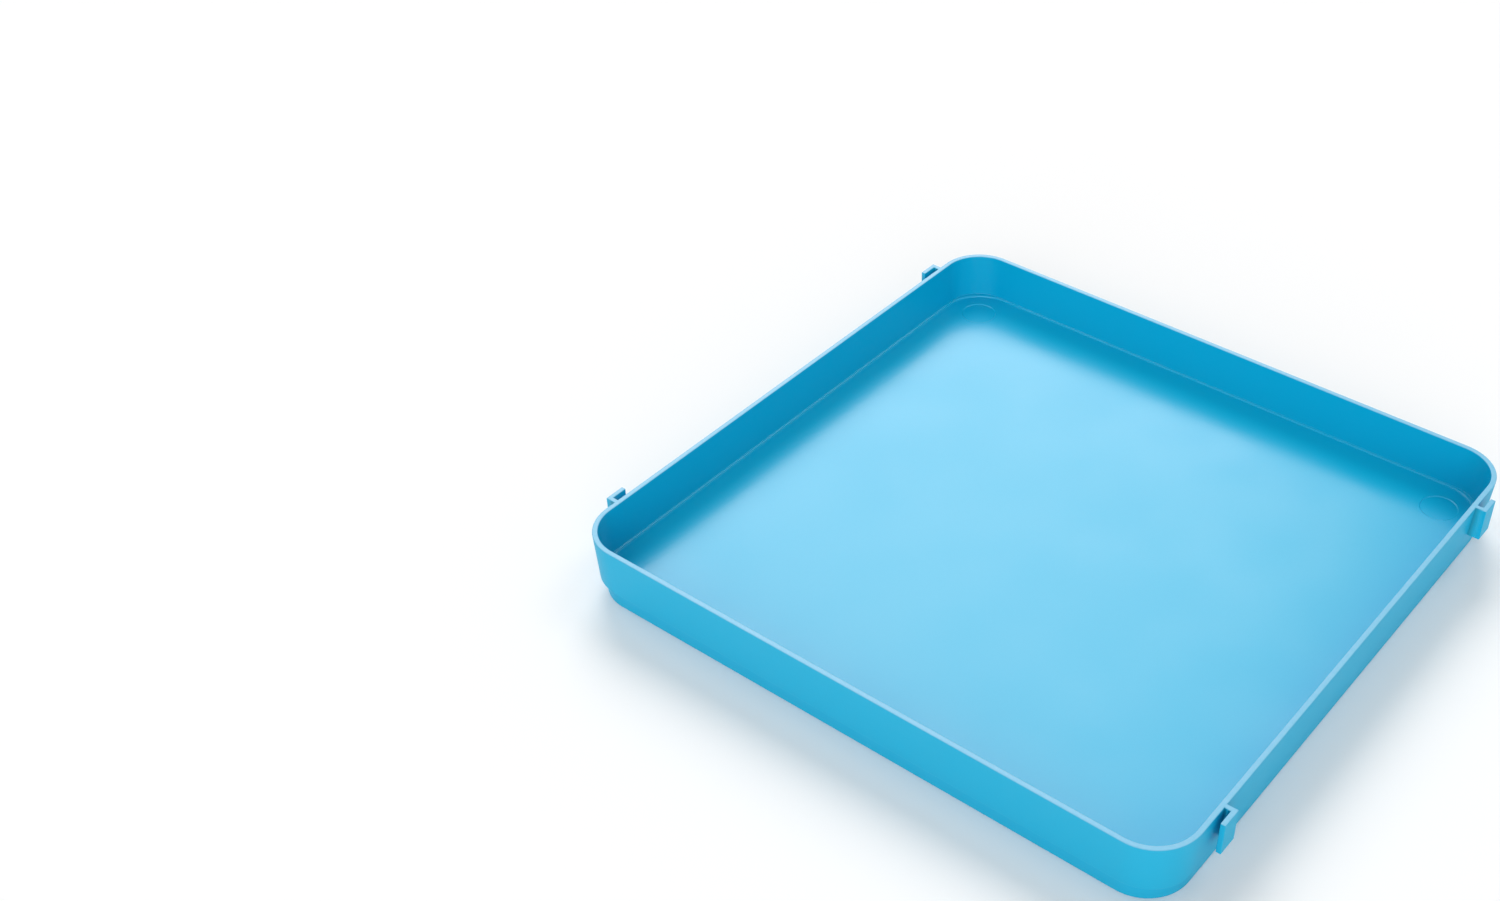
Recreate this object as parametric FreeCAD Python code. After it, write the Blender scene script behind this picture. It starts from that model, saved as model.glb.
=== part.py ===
"""Stacking, side-linking sorting tray for loose puzzle pieces: one injection-moulded shell.

Millimetres, +Z up. The origin is the centre of the footprint, on the surface that the tray stands on.
+X and -X are the two sides with linking hooks; the tray is a mirror image of itself across y = 0.
"""
import FreeCAD, Part
import math
import os
from FreeCAD import Vector

# Driving dimensions: the open shell, measured over the rim
TRAY_LENGTH = 196.3          # along X, without the hooks
TRAY_WIDTH = 192.0           # along Y
TRAY_HEIGHT = 21.1
RIM_CORNER_RADIUS = 14.1     # outer plan radius
WALL = 1.6                   # side wall, level with the rim
DRAFT_ANGLE = 2.9            # degrees, both faces of the wall lean in towards the foot
EDGE_RADIUS = 0.25           # easing of the rim and of the hooks' outer edges

# Driving dimensions: the floor
FLOOR_THICKNESS = 1.6
FLOOR_HEIGHT = 6.3           # top of the floor above the table
LEDGE_WIDTH = 0.6            # narrow step that runs round the floor
LEDGE_RISE = 0.5
POCKET_CORNER_RADIUS = 13.4  # plan radius of the sunk floor
MARK_DIAMETER = 11.0         # round ejector marks near the four corners
MARK_DEPTH = 0.25
MARK_INSET = 13.8            # centre of a mark from the rim, along X and along Y
GATE_DIAMETER = 8.0          # moulding gate's dimple under the middle of the floor
GATE_DEPTH = 0.4

# Driving dimensions: the foot, which drops inside the rim of a tray below
FOOT_HEIGHT = 5.7
FOOT_WALL = 1.5
FOOT_CORNER_RADIUS = 13.2    # outer plan radius at the table
FOOT_EDGE_RADIUS = 0.4
NEST_CLEARANCE = 0.15        # between the foot and the inside of the rim that receives it

# Driving dimensions: the linking hooks, L-shaped in plan
HOOK_PLATE = 1.5             # thickness of the web and of the arm
HOOK_LENGTH = 6.5            # along Y, over the web and the arm
HOOK_DEPTH = 10.5            # down from the rim
HOOK_START = 70.4            # from the tray's middle to the near face of a +X hook
HOOK_CLEARANCE = 0.2         # round a neighbour's arm in the slot

# Derived sizes
SLOPE = math.tan(math.radians(DRAFT_ANGLE))
LEDGE_HEIGHT = FLOOR_HEIGHT + LEDGE_RISE
FLOOR_UNDERSIDE = FLOOR_HEIGHT - FLOOR_THICKNESS
SLOT_WIDTH = HOOK_PLATE + HOOK_CLEARANCE
HOOK_REACH = SLOT_WIDTH + HOOK_PLATE
OVERCUT = 1.0                # how far a cutting tool runs past an open face


def rim_inset(height):
    """Inset of the wall's outer face from the rim's outline, at a height above the table."""
    return (TRAY_HEIGHT - height) * SLOPE


def foot_inset(height):
    """Inset of the foot's outer face: it clears the rim below by the nesting clearance."""
    return WALL + NEST_CLEARANCE + (FOOT_HEIGHT - height) * SLOPE


def outline(inset, height, corner):
    """Plan outline as a wire, moved in from the rim's. The corner radius is corner less the inset."""
    radius = corner - inset
    half_x = TRAY_LENGTH / 2 - corner
    half_y = TRAY_WIDTH / 2 - corner
    arcs = []
    for turn, (sx, sy) in enumerate(((1, 1), (-1, 1), (-1, -1), (1, -1))):
        centre = Vector(sx * half_x, sy * half_y, height)
        arcs.append(Part.makeCircle(radius, centre, Vector(0, 0, 1), 90 * turn, 90 * turn + 90))
    sides = []
    for turn in range(4):
        leave = arcs[turn].lastVertex().Point
        meet = arcs[(turn + 1) % 4].firstVertex().Point
        sides.append(Part.makeLine(leave, meet))
    return Part.Wire(Part.__sortEdges__(arcs + sides))


def drafted_block(low, low_inset, high, high_inset, corner):
    """Solid between two plan outlines, with straight drafted sides and concentric corners."""
    wires = [outline(low_inset, low, corner), outline(high_inset, high, corner)]
    return Part.makeLoft(wires, True, True)


def foot_corner():
    """The foot's corner radius, carried out to the rim's outline."""
    return FOOT_CORNER_RADIUS + foot_inset(0)


def outer_form():
    """Wall block down to the shoulder, on the narrower foot block."""
    wall_low = rim_inset(FOOT_HEIGHT)
    wall_block = drafted_block(FOOT_HEIGHT, wall_low, TRAY_HEIGHT, 0, RIM_CORNER_RADIUS)
    foot_top = foot_inset(LEDGE_HEIGHT)
    foot_block = drafted_block(0, foot_inset(0), LEDGE_HEIGHT, foot_top, foot_corner())
    return wall_block.fuse(foot_block).removeSplitter()


def cavity():
    """The space above the floor, up through the open top."""
    low_inset = WALL + rim_inset(LEDGE_HEIGHT)
    top = TRAY_HEIGHT + OVERCUT
    upper = drafted_block(LEDGE_HEIGHT, low_inset, top, WALL + rim_inset(top), RIM_CORNER_RADIUS)
    pocket_inset = low_inset + LEDGE_WIDTH
    pocket = outline(pocket_inset, FLOOR_HEIGHT, POCKET_CORNER_RADIUS + pocket_inset)
    return upper.fuse(Part.Face(pocket).extrude(Vector(0, 0, LEDGE_RISE + OVERCUT / 2)))


def underside_hollow():
    """The space inside the foot, below the floor."""
    inset = FOOT_WALL + foot_inset(0)
    low_inset = inset - OVERCUT * SLOPE
    high_inset = inset + FLOOR_UNDERSIDE * SLOPE
    return drafted_block(-OVERCUT, low_inset, FLOOR_UNDERSIDE, high_inset, foot_corner())


def corner_marks():
    """Four shallow round recesses in the floor."""
    x = TRAY_LENGTH / 2 - MARK_INSET
    y = TRAY_WIDTH / 2 - MARK_INSET
    base = FLOOR_HEIGHT - MARK_DEPTH
    places = [Vector(sx * x, sy * y, base) for sx in (1, -1) for sy in (1, -1)]
    return [Part.makeCylinder(MARK_DIAMETER / 2, MARK_DEPTH + OVERCUT, place) for place in places]


def gate_dimple():
    """Shallow dimple round the moulding gate, in the middle of the underside."""
    base = Vector(0, 0, FLOOR_UNDERSIDE - OVERCUT)
    return Part.makeCylinder(GATE_DIAMETER / 2, OVERCUT + GATE_DEPTH, base)


def hook(web_face, step):
    """One hook on the +X wall: a web at web_face, then an arm that runs along Y by step, +1 or -1."""
    wall_face = TRAY_LENGTH / 2
    root = wall_face - WALL / 2
    slot = wall_face + SLOT_WIDTH
    tip = wall_face + HOOK_REACH
    web_back = web_face + step * HOOK_PLATE
    arm_end = web_face + step * HOOK_LENGTH
    corners = (
        (root, web_face), (tip, web_face), (tip, arm_end),
        (slot, arm_end), (slot, web_back), (root, web_back),
    )
    points = [Vector(x, y, TRAY_HEIGHT - HOOK_DEPTH) for x, y in corners]
    profile = Part.makePolygon(points + points[:1])
    return Part.Face(profile).extrude(Vector(0, 0, HOOK_DEPTH))


def mirrored_pair(solid):
    """A solid and its mirror image across y = 0."""
    return [solid, solid.mirror(Vector(0, 0, 0), Vector(0, 1, 0))]


def hooks():
    """Four hooks. Those on -X face the other way, so a neighbour's arms slide down into the slots of +X."""
    plus_side = hook(HOOK_START, 1)
    far_face = HOOK_START + HOOK_LENGTH + HOOK_CLEARANCE + HOOK_PLATE
    minus_side = hook(far_face, -1).mirror(Vector(0, 0, 0), Vector(1, 0, 0))
    return mirrored_pair(plus_side) + mirrored_pair(minus_side)


def is_level(edge, height):
    """True for an edge that lies wholly at one height."""
    box = edge.BoundBox
    return abs(box.ZMin - height) < 1e-6 and abs(box.ZMax - height) < 1e-6


def is_hook_corner(edge):
    """True for an upright edge on the far face of a hook's arm."""
    box = edge.BoundBox
    upright = box.ZLength > HOOK_DEPTH / 2
    arm_middle = TRAY_LENGTH / 2 + SLOT_WIDTH + HOOK_PLATE / 2
    return upright and min(abs(box.XMin), abs(box.XMax)) > arm_middle


def build_tray():
    """The whole moulding as one solid."""
    shell = outer_form().cut(cavity()).cut(underside_hollow())
    shell = shell.cut(corner_marks() + [gate_dimple()])
    foot_edges = [e for e in shell.Edges if is_level(e, 0)]
    shell = shell.makeFillet(FOOT_EDGE_RADIUS, foot_edges)
    tray = shell.fuse(hooks()).removeSplitter()
    eased = [e for e in tray.Edges if is_level(e, TRAY_HEIGHT) or is_hook_corner(e)]
    return tray.makeFillet(EDGE_RADIUS, eased).Solids[0]


def main():
    os.makedirs("parts", exist_ok=True)
    tray = build_tray()
    tray.exportStep("parts/tray.step")
    box = tray.optimalBoundingBox(False, False)
    print("tray", "valid", tray.isValid(), "volume cm3", round(tray.Volume / 1000, 2))
    print("size", round(box.XLength, 2), round(box.YLength, 2), round(box.ZLength, 2))
    print("pitch of linked trays", round(TRAY_LENGTH + HOOK_REACH, 2))


main()
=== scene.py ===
# %% [markdown]
# # A stacking tray, moulded in one shot
# The real tray is one piece of glossy blue plastic. A thin wall runs round a square floor, a narrow
# foot below it drops into the rim of the tray beneath, and four small hooks link it to its
# neighbours. The measured model comes first. It is the ruler for all that follows, and it is never
# changed.

# %% load the measured model
import math

import bmesh
import bpy
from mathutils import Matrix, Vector


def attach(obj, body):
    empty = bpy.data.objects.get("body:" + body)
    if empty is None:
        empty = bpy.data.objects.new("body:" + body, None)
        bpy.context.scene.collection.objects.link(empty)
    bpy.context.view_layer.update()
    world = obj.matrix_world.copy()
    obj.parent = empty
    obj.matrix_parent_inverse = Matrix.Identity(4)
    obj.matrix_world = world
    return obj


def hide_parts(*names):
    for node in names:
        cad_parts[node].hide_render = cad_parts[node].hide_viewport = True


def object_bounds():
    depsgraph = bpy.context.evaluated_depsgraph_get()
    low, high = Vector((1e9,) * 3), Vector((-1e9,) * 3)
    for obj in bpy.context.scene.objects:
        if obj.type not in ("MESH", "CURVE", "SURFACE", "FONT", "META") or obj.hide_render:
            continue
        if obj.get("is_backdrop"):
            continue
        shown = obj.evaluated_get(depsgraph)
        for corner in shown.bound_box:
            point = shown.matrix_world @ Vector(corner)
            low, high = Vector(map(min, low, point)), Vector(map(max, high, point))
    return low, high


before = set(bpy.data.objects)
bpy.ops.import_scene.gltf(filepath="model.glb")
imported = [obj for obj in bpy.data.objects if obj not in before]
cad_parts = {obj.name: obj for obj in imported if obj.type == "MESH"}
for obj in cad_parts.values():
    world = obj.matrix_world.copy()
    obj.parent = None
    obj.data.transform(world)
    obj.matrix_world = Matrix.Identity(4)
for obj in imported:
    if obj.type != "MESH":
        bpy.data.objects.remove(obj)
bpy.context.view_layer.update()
MM = 0.001

# %% [markdown]
# ## The camera
# A picture looks right only from the place it was taken. The lens here is a plain 45 mm one. It
# looks down on the tray from its front right, at 41 degrees. The shift moves the picture without
# turning the camera, so upright edges keep their lean.

# %% camera
camera_data = bpy.data.cameras.new("camera")
camera_data.sensor_width = 36
camera_data.lens = 44.565
camera_data.shift_x = -0.0915
camera_data.shift_y = 0.0708
camera_data.clip_start, camera_data.clip_end = 0.01, 20
camera = bpy.data.objects.new("camera", camera_data)
camera.location = (0.21498, -0.35493, 0.36062)
gaze = Vector((-0.46021, 0.59394, -0.65988))
camera.rotation_euler = gaze.to_track_quat("-Z", "Y").to_euler()
bpy.context.scene.collection.objects.link(camera)
bpy.context.scene.camera = camera
print("camera looks down at", round(math.degrees(math.asin(-gaze.normalized().z)), 1), "degrees")

# %% [markdown]
# ## Two small helpers
# Every material and every geometry tree below is a chain of nodes. One function adds any node, sets
# it up and links it. The other turns a colour from a paint chart, which is written for the eye,
# into the straight light values that a renderer adds up.

# %% node and colour helpers
def add(tree, kind, inputs=None, **settings):
    """Add one node, set it up, then fill or link its inputs by name or number."""
    made = tree.nodes.new(kind)
    for name, value in settings.items():
        setattr(made, name, value)
    for key, value in (inputs or {}).items():
        several = isinstance(value, list) and isinstance(value[0], bpy.types.NodeSocket)
        for source in value if several else [value]:
            if isinstance(source, bpy.types.NodeSocket):
                tree.links.new(source, made.inputs[key])
            else:
                made.inputs[key].default_value = source
    return made


def linear(code):
    """An sRGB hex colour as linear red, green, blue and a full alpha."""
    steps = [int(code[i:i + 2], 16) / 255 for i in (1, 3, 5)]
    return [s / 12.92 if s <= 0.04045 else ((s + 0.055) / 1.055) ** 2.4 for s in steps] + [1]


BLUE = "#05AED6"
print("the tray's blue in linear light:", [round(value, 3) for value in linear(BLUE)])

# %% [markdown]
# ## The plastic
# High-impact polystyrene is what such trays are moulded from, and the mould's own polish prints
# itself on it. The inside is polished, so its walls mirror the floor. The floor is the widest,
# thinnest area: it cools unevenly, so its gloss is a little softer. The outside slides in and out
# of other trays and is satin: it shows the colour and next to no reflection. The flat rim carries
# every tray that is stacked on this one. It is a little rougher, and it gets a paler blue: a
# painted sheen, which stands in for the light that the rim's flat top gives back.
#
# One material does all four. It tells floor and rim by the height above the table, and inside from
# outside by whether a face looks towards the middle of the tray or away from it. The face's
# direction times its place says which: about +96 mm on the outside, -94 mm on the inside and 0 on
# level faces.

# %% gloss polystyrene: where is what
plastic = bpy.data.materials.new("gloss_moulded_polystyrene")
plastic.use_nodes = True
tree = plastic.node_tree
tree.nodes.clear()
FLOOR, RIM_LOW, RIM_TOP = 6.3 * MM, 20.9 * MM, 21.07 * MM
ABOVE_FLOOR, OUTWARDS = 0.1 * MM, 5 * MM
place_node = add(tree, "ShaderNodeTexCoord")
place, facing = place_node.outputs["Object"], place_node.outputs["Normal"]
height = add(tree, "ShaderNodeSeparateXYZ", {0: place}).outputs["Z"]
on_floor = add(
    tree, "ShaderNodeMath", {0: height, 1: FLOOR + ABOVE_FLOOR}, operation="LESS_THAN"
).outputs[0]
on_rim = add(
    tree, "ShaderNodeMapRange", {"Value": height, "From Min": RIM_LOW, "From Max": RIM_TOP}
).outputs["Result"]
sideways = add(
    tree, "ShaderNodeVectorMath", {0: place, 1: (1, 1, 0)}, operation="MULTIPLY"
).outputs[0]
away = add(
    tree, "ShaderNodeVectorMath", {0: facing, 1: sideways}, operation="DOT_PRODUCT"
).outputs["Value"]
outside = add(tree, "ShaderNodeMath", {0: away, 1: OUTWARDS}, operation="GREATER_THAN").outputs[0]
print("made", plastic.name, "as far as telling floor, rim, inside and outside apart")

# %% [markdown]
# Each place now gets its roughness, with a little unevenness over everything. Pellets and flow
# leave a slow waviness, a few centimetres long, that only reflections give away.

# %% roughness and waviness
INSIDE_ROUGHNESS, FLOOR_ROUGHNESS = 0.10, 0.25
OUTSIDE_ROUGHNESS, RIM_ROUGHNESS = 0.50, 0.35
VARIATION, PATCH = 0.02, 25 * MM
WAVE_LENGTH, WAVE_HEIGHT = 40 * MM, 0.15 * MM
rougher_places = (
    (on_floor, FLOOR_ROUGHNESS), (outside, OUTSIDE_ROUGHNESS), (on_rim, RIM_ROUGHNESS),
)
polish = INSIDE_ROUGHNESS
for here, rough in rougher_places:
    polish = add(
        tree, "ShaderNodeMapRange", {"Value": here, "To Min": polish, "To Max": rough}
    ).outputs["Result"]
grain = add(tree, "ShaderNodeTexNoise", {"Vector": place, "Scale": 1 / PATCH, "Detail": 2.0})
uneven = add(
    tree, "ShaderNodeMapRange",
    {
        "Value": grain.outputs["Fac"], "From Min": 0.35, "From Max": 0.65,
        "To Min": -VARIATION, "To Max": VARIATION,
    },
).outputs["Result"]
roughness = add(tree, "ShaderNodeMath", {0: polish, 1: uneven}, operation="ADD").outputs[0]
wave = add(tree, "ShaderNodeTexNoise", {"Vector": place, "Scale": 1 / WAVE_LENGTH, "Detail": 1.0})
bump = add(
    tree, "ShaderNodeBump",
    {"Height": wave.outputs["Fac"], "Distance": WAVE_HEIGHT, "Strength": 0.3},
)
print("roughness from", INSIDE_ROUGHNESS, "inside to", OUTSIDE_ROUGHNESS, "outside")

# %% [markdown]
# The colour is a pure cyan: it gives back almost no red, so the red in the picture comes from
# reflections and from the painted sheen on the rim. That sheen is a paler blue, broken up by a
# noise into patches of a millimetre or two. One scratch on the rim is too fine to show, so patches
# of a millimetre or two stand for them. Polystyrene bends light by 1.59. Here 1.4 gives the walls
# a mirror as weak as the real one's.

# %% colour and the rim's painted sheen
# The rim's paler blue and its patches are a painted sheen: they stand in for the light that the
# rim's top gives back.
PAINTED_SHEEN_BLUE, SHEEN_PATCH = "#7ABDDD", 1.5 * MM
sheen_noise = add(
    tree, "ShaderNodeTexNoise", {"Vector": place, "Scale": 1 / SHEEN_PATCH, "Detail": 3.0}
).outputs["Fac"]
patchy = add(
    tree, "ShaderNodeMapRange",
    {"Value": sheen_noise, "From Min": 0.3, "From Max": 0.7, "To Min": 0.8, "To Max": 1.0},
).outputs["Result"]
# painted sheen: only the rim gets the paler blue
painted_sheen = add(tree, "ShaderNodeMath", {0: on_rim, 1: patchy}, operation="MULTIPLY").outputs[0]
colour = add(
    tree, "ShaderNodeMix", {"Factor": painted_sheen, "A": linear(BLUE), "B": linear(PAINTED_SHEEN_BLUE)},
    data_type="RGBA",
)
shader = add(
    tree, "ShaderNodeBsdfPrincipled",
    {
        "Base Color": colour.outputs[2], "Roughness": roughness, "IOR": 1.4,
        "Normal": bump.outputs["Normal"],
    },
)
add(tree, "ShaderNodeOutputMaterial", {"Surface": shader.outputs[0]})
print("made the finish", plastic.name)

# %% [markdown]
# ## The shell: one section, led round one outline
# Cut the tray anywhere across its wall and the same section shows: floor, a narrow ledge, the
# leaning wall, the flat rim, the shoulder and the foot. So the shell follows a rule, and Geometry
# Nodes can apply it. Each point of the section needs three numbers: how far it lies inside the
# rim's outline, its corner radius, and its height. The wall leans 2.9 degrees so that the mould
# lets go of it, which is why the inset grows as the height falls. A fourth number says how much the
# corner is eased.

# %% the section's sizes
LENGTH, WIDTH, RIM_HEIGHT = 196.3 * MM, 192.0 * MM, 21.1 * MM
LEDGE, SHOULDER, UNDERSIDE = 6.8 * MM, 5.7 * MM, 4.7 * MM
WALL, FOOT_WALL, LEDGE_WIDTH, NESTING_GAP = 1.6 * MM, 1.5 * MM, 0.6 * MM, 0.15 * MM
RIM_CORNER, FLOOR_CORNER, FOOT_CORNER = 14.1 * MM, 13.4 * MM, 13.2 * MM
LEAN = math.tan(math.radians(2.9))
at_ledge, at_shoulder = [(RIM_HEIGHT - z) * LEAN for z in (LEDGE, SHOULDER)]
pocket = WALL + at_ledge + LEDGE_WIDTH
foot_top = WALL + NESTING_GAP
foot_low = foot_top + SHOULDER * LEAN
pocket_corner = FLOOR_CORNER + pocket
foot_corner = FOOT_CORNER + foot_low
MIDDLE = 1.0
SHARP, CREASE, SHOULDER_EDGE, STEP, FOOT = 0, 0.1 * MM, 0.25 * MM, 0.38 * MM, 0.4 * MM
section_corners = [
    (MIDDLE, 0, FLOOR, SHARP), (pocket, pocket_corner, FLOOR, CREASE),
    (pocket, pocket_corner, LEDGE, STEP), (WALL + at_ledge, RIM_CORNER, LEDGE, CREASE),
    (WALL, RIM_CORNER, RIM_HEIGHT, SHARP), (0, RIM_CORNER, RIM_HEIGHT, SHARP),
    (at_shoulder, RIM_CORNER, SHOULDER, SHOULDER_EDGE), (foot_top, foot_corner, SHOULDER, CREASE),
    (foot_low, foot_corner, 0, FOOT), (foot_low + FOOT_WALL, foot_corner, 0, FOOT),
    (foot_low + FOOT_WALL + UNDERSIDE * LEAN, foot_corner, UNDERSIDE, CREASE),
    (MIDDLE, 0, UNDERSIDE, SHARP),
]
print("the section has", len(section_corners), "corners")

# %% [markdown]
# A moulded edge is never truly sharp: it catches a thin line of light. Each eased corner becomes a
# short curve that starts and ends that far from it. The rim's two corners stay sharp for now,
# because the hooks still have to join them.

# %% ease the section's corners
def eased(corners):
    """The section's points, with a curve of four points in place of each eased corner."""
    points = [Vector(corners[0][:3])]
    for before, (*corner, ease), after in zip(corners, corners[1:], corners[2:]):
        corner = Vector(corner)
        ends = []
        for other in (before, after):
            way = Vector(other[:3]) - corner
            ends.append(corner + way * ease / math.hypot(way.x, way.z))
        for t in (0, 1 / 3, 2 / 3, 1) if ease else (0,):
            points.append(ends[0] * (1 - t) ** 2 + corner * 2 * t * (1 - t) + ends[1] * t ** 2)
    return points + [Vector(corners[-1][:3])]


section_points = eased(section_corners)
section = bpy.data.meshes.new("section")
section.from_pydata(section_points, [(i, i + 1) for i in range(len(section_points) - 1)], [])
print("eased, it has", len(section.vertices), "points")

# %% [markdown]
# A geometry tree is a small machine with named dials. It starts as an empty box with a Geometry
# input and output, and with one more input for each size that it is to be given.

# %% a new geometry tree
def new_tree(name, inputs):
    """A geometry tree with a Geometry input and output and the named inputs: name, kind, value."""
    made = bpy.data.node_groups.new(name, "GeometryNodeTree")
    made.interface.new_socket("Geometry", in_out="INPUT", socket_type="NodeSocketGeometry")
    made.interface.new_socket("Geometry", in_out="OUTPUT", socket_type="NodeSocketGeometry")
    for label, kind, value in inputs:
        socket = made.interface.new_socket(label, in_out="INPUT", socket_type="NodeSocket" + kind)
        if value is not None:
            socket.default_value = value
    return made, made.nodes.new("NodeGroupInput").outputs


outline, given = new_tree("section_round_outline", [
    ("Length", "Float", LENGTH), ("Width", "Float", WIDTH), ("Corner steps", "Int", 20),
    ("Material", "Material", None),
])
print("the shell's tree has the inputs", [socket.name for socket in given if socket.name])

# %% [markdown]
# This tree lays out a grid with one row for each point of the section and one column for each step
# round the outline. Every corner is a quarter circle of equal steps, and the long straight sides
# need no points of their own. A point whose inset is a metre is in the middle, so floor and
# underside close.
#
# First comes the counting. A point's number in the grid tells its row and its column, and the
# column tells its corner and how far round that corner it is.

# %% which corner, and how far round it
QUARTER = math.pi / 2
rows = add(
    outline, "GeometryNodeAttributeDomainSize", {0: given["Geometry"]}
).outputs["Point Count"]
corner_points = add(
    outline, "ShaderNodeMath", {0: given["Corner steps"], 1: 1}, operation="ADD"
).outputs[0]
columns = add(
    outline, "ShaderNodeMath", {0: corner_points, 1: 4, 2: 1}, operation="MULTIPLY_ADD"
).outputs[0]
sheet = add(outline, "GeometryNodeMeshGrid", {"Vertices X": columns, "Vertices Y": rows})
index = add(outline, "GeometryNodeInputIndex").outputs[0]
row = add(outline, "ShaderNodeMath", {0: index, 1: rows}, operation="FLOORED_MODULO").outputs[0]
rows_passed = add(outline, "ShaderNodeMath", {0: index, 1: rows}, operation="DIVIDE").outputs[0]
column = add(outline, "ShaderNodeMath", {0: rows_passed}, operation="FLOOR").outputs[0]
corners_passed = add(
    outline, "ShaderNodeMath", {0: column, 1: corner_points}, operation="DIVIDE"
).outputs[0]
corner_number = add(outline, "ShaderNodeMath", {0: corners_passed}, operation="FLOOR").outputs[0]
step = add(
    outline, "ShaderNodeMath", {0: column, 1: corner_points}, operation="FLOORED_MODULO"
).outputs[0]
part_way = add(
    outline, "ShaderNodeMath", {0: step, 1: given["Corner steps"]}, operation="DIVIDE"
).outputs[0]
start_angle = add(
    outline, "ShaderNodeMath", {0: corner_number, 1: QUARTER}, operation="MULTIPLY"
).outputs[0]
angle = add(
    outline, "ShaderNodeMath", {0: part_way, 1: QUARTER, 2: start_angle}, operation="MULTIPLY_ADD"
).outputs[0]
print("the shell's tree has", len(outline.nodes), "nodes that count")

# %% [markdown]
# Now the place of each grid point: go to its corner's centre, then outwards by the corner radius
# less the inset. Inset, corner radius and height are read from the section's point of that row.

# %% where each point goes
which_corner = add(
    outline, "ShaderNodeVectorRotate", {"Vector": (1, 1, 0), "Angle": start_angle},
    rotation_type="Z_AXIS",
).outputs[0]
outwards = add(
    outline, "ShaderNodeVectorRotate", {"Vector": (1, 0, 0), "Angle": angle}, rotation_type="Z_AXIS"
).outputs[0]
where = add(outline, "GeometryNodeInputPosition").outputs[0]
numbers = add(
    outline, "GeometryNodeSampleIndex",
    {"Geometry": given["Geometry"], "Value": where, "Index": row}, data_type="FLOAT_VECTOR",
).outputs[0]
inset, corner, level = add(outline, "ShaderNodeSeparateXYZ", {0: numbers}).outputs
sides = add(outline, "ShaderNodeCombineXYZ", {"X": given["Length"], "Y": given["Width"]}).outputs[0]
half = add(outline, "ShaderNodeVectorMath", {0: sides, "Scale": 0.5}, operation="SCALE").outputs[0]
corner_both = add(outline, "ShaderNodeCombineXYZ", {"X": corner, "Y": corner}).outputs[0]
first_centre = add(
    outline, "ShaderNodeVectorMath", {0: half, 1: corner_both}, operation="SUBTRACT"
).outputs[0]
centre = add(
    outline, "ShaderNodeVectorMath", {0: first_centre, 1: which_corner}, operation="MULTIPLY"
).outputs[0]
radius = add(outline, "ShaderNodeMath", {0: corner, 1: inset}, operation="SUBTRACT").outputs[0]
spoke = add(
    outline, "ShaderNodeVectorMath", {0: outwards, "Scale": radius}, operation="SCALE"
).outputs[0]
spot = add(outline, "ShaderNodeVectorMath", {0: centre, 1: spoke}, operation="ADD").outputs[0]
in_the_ring = add(
    outline, "ShaderNodeMath", {0: inset, 1: MIDDLE / 2}, operation="LESS_THAN"
).outputs[0]
spot = add(
    outline, "ShaderNodeVectorMath", {0: spot, "Scale": in_the_ring}, operation="SCALE"
).outputs[0]
lift = add(outline, "ShaderNodeCombineXYZ", {"Z": level}).outputs[0]
spot = add(outline, "ShaderNodeVectorMath", {0: spot, 1: lift}, operation="ADD").outputs[0]
print("with the places it has", len(outline.nodes), "nodes")

# %% [markdown]
# The grid is bent to those places. Its two ends meet there, and so do the points in the middle, so
# what falls together is merged and the shell is closed.

# %% bend the grid and grow the shell
SAME_POINT = 0.001 * MM
bent = add(
    outline, "GeometryNodeSetPosition", {"Geometry": sheet.outputs["Mesh"], "Position": spot}
).outputs[0]
closed = add(
    outline, "GeometryNodeMergeByDistance", {"Geometry": bent, "Distance": SAME_POINT}
).outputs[0]
plain = add(outline, "GeometryNodeRealizeInstances", {"Geometry": closed}).outputs[0]
finished = add(
    outline, "GeometryNodeSetMaterial", {"Geometry": plain, "Material": given["Material"]}
).outputs[0]
add(outline, "NodeGroupOutput", {"Geometry": finished})


def grow(name, mesh, tree, values):
    """Run a geometry tree on a mesh with the named inputs, and keep the result as a plain mesh."""
    piece = bpy.data.objects.new(name, mesh)
    bpy.context.scene.collection.objects.link(piece)
    modifier = piece.modifiers.new(tree.name, "NODES")
    modifier.node_group = tree
    for label, value in values.items():
        modifier[tree.interface.items_tree[label].identifier] = value
    bpy.context.view_layer.update()
    seen = piece.evaluated_get(bpy.context.evaluated_depsgraph_get())
    result = bpy.data.meshes.new_from_object(seen)
    piece.modifiers.clear()
    piece.data = result
    print("made", name, "with", len(result.polygons), "faces")
    return piece


shell = grow("shell", section, outline, {"Material": plastic})

# %% [markdown]
# ## Hooks and marks: one piece, four places
# Each hook is an L of two plates. Hooks on the right reach away from the middle and those on the
# left reach back towards it, so that a neighbour's arms drop behind them. The floor has four round
# marks, where pins pushed the warm tray out of its mould. Both repeat by the same rule, so one tree
# serves both: four points, right or left, front or back, each with a copy scaled by plus or minus
# one. A 0 or a 1, times minus two and plus one, is that plus or minus one.

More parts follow.
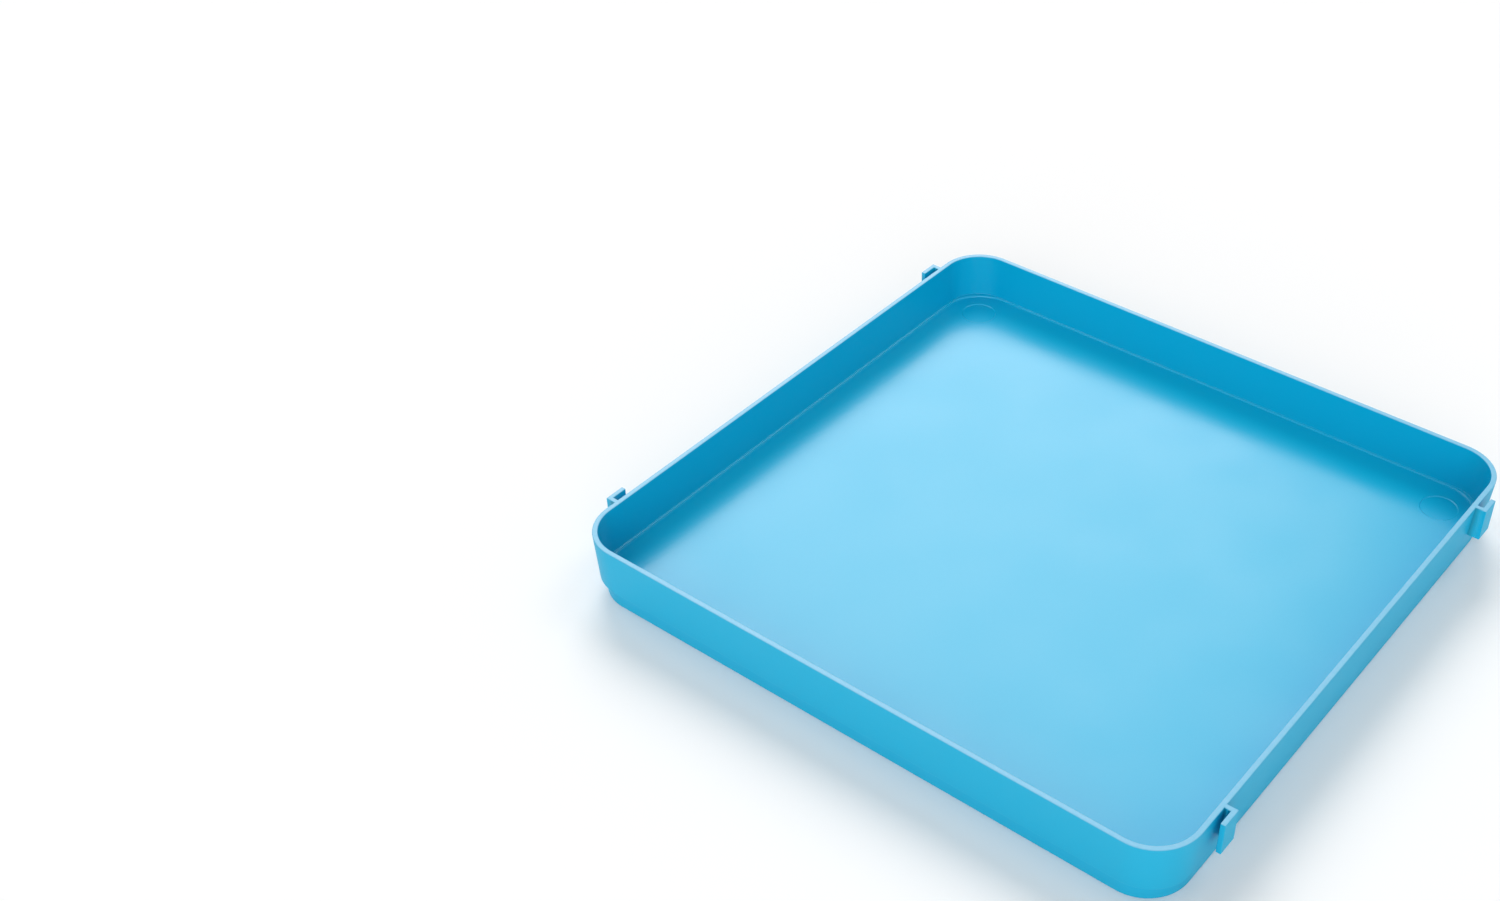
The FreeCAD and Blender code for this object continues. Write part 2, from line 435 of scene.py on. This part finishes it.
# %% a tree that puts a piece in four places
four_places, given = new_tree("four_places", [
    ("Reach", "Float", 0.0), ("Right place", "Float", 0.0), ("Left place", "Float", 0.0),
    ("Material", "Material", None),
])
index = add(four_places, "GeometryNodeInputIndex").outputs[0]
is_left = add(four_places, "ShaderNodeMath", {0: index, 1: 2}, operation="MODULO").outputs[0]
side = add(
    four_places, "ShaderNodeMath", {0: is_left, 1: -2, 2: 1}, operation="MULTIPLY_ADD"
).outputs[0]
is_front = add(
    four_places, "ShaderNodeMath", {0: index, 1: 1.5}, operation="GREATER_THAN"
).outputs[0]
depth_sign = add(
    four_places, "ShaderNodeMath", {0: is_front, 1: -2, 2: 1}, operation="MULTIPLY_ADD"
).outputs[0]
place_along = add(
    four_places, "ShaderNodeMapRange",
    {"Value": is_left, "To Min": given["Right place"], "To Max": given["Left place"]},
).outputs[0]
x = add(
    four_places, "ShaderNodeMath", {0: side, 1: given["Reach"]}, operation="MULTIPLY"
).outputs[0]
y = add(
    four_places, "ShaderNodeMath", {0: depth_sign, 1: place_along}, operation="MULTIPLY"
).outputs[0]
spot = add(four_places, "ShaderNodeCombineXYZ", {"X": x, "Y": y}).outputs[0]
points = add(four_places, "GeometryNodePoints", {"Count": 4, "Position": spot}).outputs[0]
turn_arm = add(
    four_places, "ShaderNodeMath", {0: side, 1: depth_sign}, operation="MULTIPLY"
).outputs[0]
mirror = add(four_places, "ShaderNodeCombineXYZ", {"X": side, "Y": turn_arm, "Z": 1.0}).outputs[0]
copies = add(
    four_places, "GeometryNodeInstanceOnPoints",
    {"Points": points, "Instance": given["Geometry"], "Scale": mirror},
).outputs[0]
plain = add(four_places, "GeometryNodeRealizeInstances", {"Geometry": copies}).outputs[0]
finished = add(
    four_places, "GeometryNodeSetMaterial", {"Geometry": plain, "Material": given["Material"]}
).outputs[0]
add(four_places, "NodeGroupOutput", {"Geometry": finished})
print("made the tree", four_places.name)

# %% [markdown]
# Seen from above, a hook is one closed outline: from inside the wall out to the arm's far face,
# along the arm, and back through the slot that takes a neighbour's arm. Raised by its depth, it is
# a prism.

# %% the hooks
PLATE, ARM, DEPTH, GAP, FIRST_HOOK = 1.5 * MM, 6.5 * MM, 10.5 * MM, 0.2 * MM, 70.4 * MM
slot = PLATE + GAP
hook_plan = [
    (-WALL / 2, 0), (slot + PLATE, 0), (slot + PLATE, ARM),
    (slot, ARM), (slot, PLATE), (-WALL / 2, PLATE),
]


def prism(name, plan, low, high):
    """A closed upright solid over a plan outline, faces outwards."""
    build = bmesh.new()
    base = build.faces.new([build.verts.new((px, py, low)) for px, py in plan])
    raised = bmesh.ops.extrude_face_region(build, geom=[base])["geom"]
    top = [piece for piece in raised if isinstance(piece, bmesh.types.BMVert)]
    bmesh.ops.translate(build, vec=(0, 0, high - low), verts=top)
    bmesh.ops.recalc_face_normals(build, faces=build.faces)
    mesh = bpy.data.meshes.new(name)
    build.to_mesh(mesh)
    build.free()
    return mesh


hooks = grow(
    "hooks", prism("hook", hook_plan, RIM_HEIGHT - DEPTH, RIM_HEIGHT), four_places,
    {
        "Reach": LENGTH / 2, "Right place": FIRST_HOOK,
        "Left place": FIRST_HOOK + ARM + GAP + PLATE, "Material": plastic,
    },
)

# %% [markdown]
# The pins' marks are a quarter of a millimetre deep, and under the middle of the floor is the
# dimple of the gate, where the hot plastic came in. Both are cut by a round tool. Plastic shrinks
# away from a pin's edge, so the tool's side is a slope of half a millimetre, steepest in its
# middle: it is the slope that shows as a thin bright arc.

# %% a round cutting tool
SLOPE_OUT = (-0.15, -0.06, 0.02, 0.10, 0.18, 0.26, 0.34)
SLOPE_DOWN = (1.0, 0.93, 0.76, 0.53, 0.29, 0.10, -0.05)
ROUND_STEPS, OVERCUT = 72, 1 * MM


def cutter(name, radius, surface, depth):
    """A round tool that cuts to a depth below a surface, or above it if the depth is negative."""
    side = [(radius + out * MM, share * depth) for out, share in zip(SLOPE_OUT, SLOPE_DOWN)]
    side.append((side[-1][0], math.copysign(OVERCUT, -depth)))
    turns = [2 * math.pi * i / ROUND_STEPS for i in range(ROUND_STEPS)]
    build = bmesh.new()
    rings = []
    for r, down in side:
        spots = [(r * math.cos(t), r * math.sin(t), surface - down) for t in turns]
        rings.append([build.verts.new(spot) for spot in spots])
    for ring, following in zip(rings, rings[1:]):
        for i in range(ROUND_STEPS):
            build.faces.new((ring[i - 1], ring[i], following[i], following[i - 1]))
    build.faces.new(rings[0])
    build.faces.new(rings[-1])
    bmesh.ops.recalc_face_normals(build, faces=build.faces)
    mesh = bpy.data.meshes.new(name)
    build.to_mesh(mesh)
    build.free()
    return mesh


print("a cutting tool's slope is", round(SLOPE_OUT[-1] - SLOPE_OUT[0], 2), "mm wide")

# %% [markdown]
# The marks lie near the floor's four corners, so the tree of four places serves them too. The gate
# is alone in the middle, and its tool cuts upwards into the underside.

# %% the tools for the marks and the gate
MARK_RADIUS, MARK_DEPTH, MARK_INSET = 5.5 * MM, 0.25 * MM, 13.8 * MM
GATE_RADIUS, GATE_DEPTH = 4 * MM, 0.4 * MM
across, along = LENGTH / 2 - MARK_INSET, WIDTH / 2 - MARK_INSET
pins = grow(
    "pins", cutter("pin", MARK_RADIUS, FLOOR, MARK_DEPTH), four_places,
    {"Reach": across, "Right place": along, "Left place": along, "Material": plastic},
)
gate = bpy.data.objects.new("gate", cutter("gate", GATE_RADIUS, UNDERSIDE, -GATE_DEPTH))
bpy.context.scene.collection.objects.link(gate)
print("made the gate's tool with", len(gate.data.polygons), "faces")

# %% [markdown]
# ## One moulding
# The real hooks and shell set hard together, so they are joined into one solid and not just pushed
# into each other. The marks and the dimple are then cut out. Last, the tree marks the sharp edges
# of rim and hooks. An edge counts when its two faces turn outwards by more than 35 degrees and it
# lies higher than 8 mm above the table, because the edges below that are eased already.

# %% a tree that joins, cuts and marks the edges
one_moulding, given = new_tree("one_moulding", [
    ("Hooks", "Object", None), ("Pins", "Object", None), ("Gate", "Object", None),
    ("Sharper than", "Float", math.radians(35)), ("Higher than", "Float", 8 * MM),
    ("Material", "Material", None),
])
parts = {
    name: add(one_moulding, "GeometryNodeObjectInfo", {"Object": given[name]}).outputs["Geometry"]
    for name in ("Hooks", "Pins", "Gate")
}
joined = add(
    one_moulding, "GeometryNodeMeshBoolean", {"Mesh 2": [given["Geometry"], parts["Hooks"]]},
    operation="UNION", solver="EXACT",
).outputs["Mesh"]
cut = add(
    one_moulding, "GeometryNodeMeshBoolean",
    {"Mesh 1": joined, "Mesh 2": [parts["Pins"], parts["Gate"]]},
    operation="DIFFERENCE", solver="EXACT",
).outputs["Mesh"]
bend = add(one_moulding, "GeometryNodeInputMeshEdgeAngle").outputs["Signed Angle"]
sharp = add(
    one_moulding, "ShaderNodeMath", {0: bend, 1: given["Sharper than"]}, operation="GREATER_THAN"
).outputs[0]
where = add(one_moulding, "GeometryNodeInputPosition").outputs[0]
level = add(one_moulding, "ShaderNodeSeparateXYZ", {0: where}).outputs["Z"]
high = add(
    one_moulding, "ShaderNodeMath", {0: level, 1: given["Higher than"]}, operation="GREATER_THAN"
).outputs[0]
weight = add(one_moulding, "ShaderNodeMath", {0: sharp, 1: high}, operation="MULTIPLY").outputs[0]
marked = add(
    one_moulding, "GeometryNodeStoreNamedAttribute",
    {"Geometry": cut, "Name": "bevel_weight_edge", "Value": weight},
    data_type="FLOAT", domain="EDGE",
).outputs[0]
plain = add(one_moulding, "GeometryNodeRealizeInstances", {"Geometry": marked}).outputs[0]
finished = add(
    one_moulding, "GeometryNodeSetMaterial", {"Geometry": plain, "Material": given["Material"]}
).outputs[0]
add(one_moulding, "NodeGroupOutput", {"Geometry": finished})
tray = grow(
    "tray_moulding", shell.data, one_moulding,
    {"Hooks": hooks, "Pins": pins, "Gate": gate, "Material": plastic},
)
for helper in (shell, hooks, pins, gate):
    bpy.data.objects.remove(helper)

# %% [markdown]
# Joining leaves seams across flat faces, such as the outline of a hook's root on top of the rim. A
# bevel would trip over them, so they are dissolved first. The join works on several things at once
# and hands them back in an order that can change from run to run, so they are sorted by place
# before that. Then every run dissolves the same seams.

# %% sort the joined mesh and dissolve the flat seams
def sort_by(elements, key):
    """Put a mesh's points, edges or faces in the order of a key."""
    elements.index_update()
    rank = {element.index: place for place, element in enumerate(sorted(elements, key=key))}
    elements.sort(key=lambda element: rank[element.index])
    elements.index_update()


FLAT_WITHIN = math.radians(0.3)
build = bmesh.new()
build.from_mesh(tray.data)
sort_by(build.verts, lambda point: tuple(point.co))
for elements in (build.edges, build.faces):
    sort_by(elements, lambda element: sorted(point.index for point in element.verts))
edges_before = len(build.edges)
bmesh.ops.dissolve_limit(build, angle_limit=FLAT_WITHIN, verts=build.verts, edges=build.edges)
print("dissolved", edges_before - len(build.edges), "edges")
build.to_mesh(tray.data)
build.free()

# %% [markdown]
# ## The rim's edges
# Each marked edge becomes a small round of a quarter of a millimetre. Wide flat faces then keep
# their own direction, so that only the rounds shade from face to face.

# %% ease the rim and the hooks
EDGE_RADIUS, EDGE_STEPS = 0.25 * MM, 3
rounds = tray.modifiers.new("rounds", "BEVEL")
rounds.limit_method = "WEIGHT"
rounds.width = EDGE_RADIUS
rounds.segments = EDGE_STEPS
rounds.use_clamp_overlap = False
rounds.miter_outer = "MITER_ARC"
tray.data.polygons.foreach_set("use_smooth", [True] * len(tray.data.polygons))
flats = tray.modifiers.new("flats", "WEIGHTED_NORMAL")
flats.keep_sharp = True
bpy.context.view_layer.update()
smooth = bpy.data.meshes.new_from_object(tray.evaluated_get(bpy.context.evaluated_depsgraph_get()))
tray.modifiers.clear()
tray.data = smooth
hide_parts("tray")
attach(tray, "root")
print("the tray has", len(smooth.polygons), "faces")

# %% [markdown]
# ## The studio
# The tray stands on a plain white table, so wide that its edge never shows. The table lies a hair
# below the foot, so that the two never share a plane.

# %% the table
TABLE_HALF, TABLE_DROP = 6.0, 0.02 * MM
table_mesh = bpy.data.meshes.new("table")
signs = ((-1, -1), (1, -1), (1, 1), (-1, 1))
table_corners = [(sx * TABLE_HALF, sy * TABLE_HALF, 0) for sx, sy in signs]
table_mesh.from_pydata(table_corners, [], [(0, 1, 2, 3)])
table = bpy.data.objects.new("table", table_mesh)
table.location.z = -TABLE_DROP
bpy.context.scene.collection.objects.link(table)
table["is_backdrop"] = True
paper = bpy.data.materials.new("white_paper")
paper.use_nodes = True
tree = paper.node_tree
tree.nodes.clear()
matte = add(tree, "ShaderNodeBsdfDiffuse", {"Color": linear("#FAFAFA")})
add(tree, "ShaderNodeOutputMaterial", {"Surface": matte.outputs[0]})
table_mesh.materials.append(paper)
print("made the table,", 2 * TABLE_HALF, "m wide")

# %% [markdown]
# Four softboxes light it. A sun lamp with a wide angle is such a softbox far away: it lights every
# part of the table alike and its shadows are soft. The key stands at the back left, just where the
# floor of the tray mirrors it to the camera, so it is what turns the floor pale. The wide fill
# stands low behind the camera, because the upright walls need it more than the floor does. The two
# weak panels overhead are there for the ledge and the marks, whose slopes turn up and mirror them
# as thin bright lines.

# %% the four softboxes
def softbox(name, direction, strength, angle):
    """A far softbox: it shines from the direction, and its width is an angle in degrees."""
    lamp = bpy.data.lights.new(name, "SUN")
    lamp.energy = strength
    lamp.angle = math.radians(angle)
    holder = bpy.data.objects.new(name, lamp)
    holder.rotation_euler = (-Vector(direction)).to_track_quat("-Z", "Y").to_euler()
    bpy.context.scene.collection.objects.link(holder)


softbox("key", (-0.50, 0.58, 0.65), 1.5, 34)
softbox("fill", (0.45, -0.80, 0.40), 1.55, 60)
softbox("top_left", (-0.56, -0.05, 0.82), 0.35, 26)
softbox("top_right", (0.26, 0.56, 0.79), 0.30, 26)
print("lamps:", [lamp.name for lamp in bpy.data.lights])

# %% [markdown]
# The room around is white wherever it is looked at, straight or in a reflection. The light that it
# sheds is weaker, as white walls a few metres away would shed it, and that keeps the colours plain.

# %% the white room
ROOM_LIGHT = 0.38
world = bpy.data.worlds.new("studio")
bpy.context.scene.world = world
world.use_nodes = True
tree = world.node_tree
tree.nodes.clear()
rays = add(tree, "ShaderNodeLightPath").outputs
seen = rays["Is Camera Ray"]
for kind in ("Is Glossy Ray", "Is Transmission Ray"):
    seen = add(tree, "ShaderNodeMath", {0: seen, 1: rays[kind]}, operation="MAXIMUM").outputs[0]
strength = add(
    tree, "ShaderNodeMapRange", {"Value": seen, "To Min": ROOM_LIGHT, "To Max": 1.0}
).outputs["Result"]
white = add(tree, "ShaderNodeBackground", {"Color": (1, 1, 1, 1), "Strength": strength}).outputs[0]
add(tree, "ShaderNodeOutputWorld", {"Surface": white})
bpy.context.scene.view_settings.view_transform = "Standard"

# %% [markdown]
# ## Measuring the result
# The box round everything that is drawn, the table left out, is measured.

# %% measure the finished scene
low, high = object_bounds()
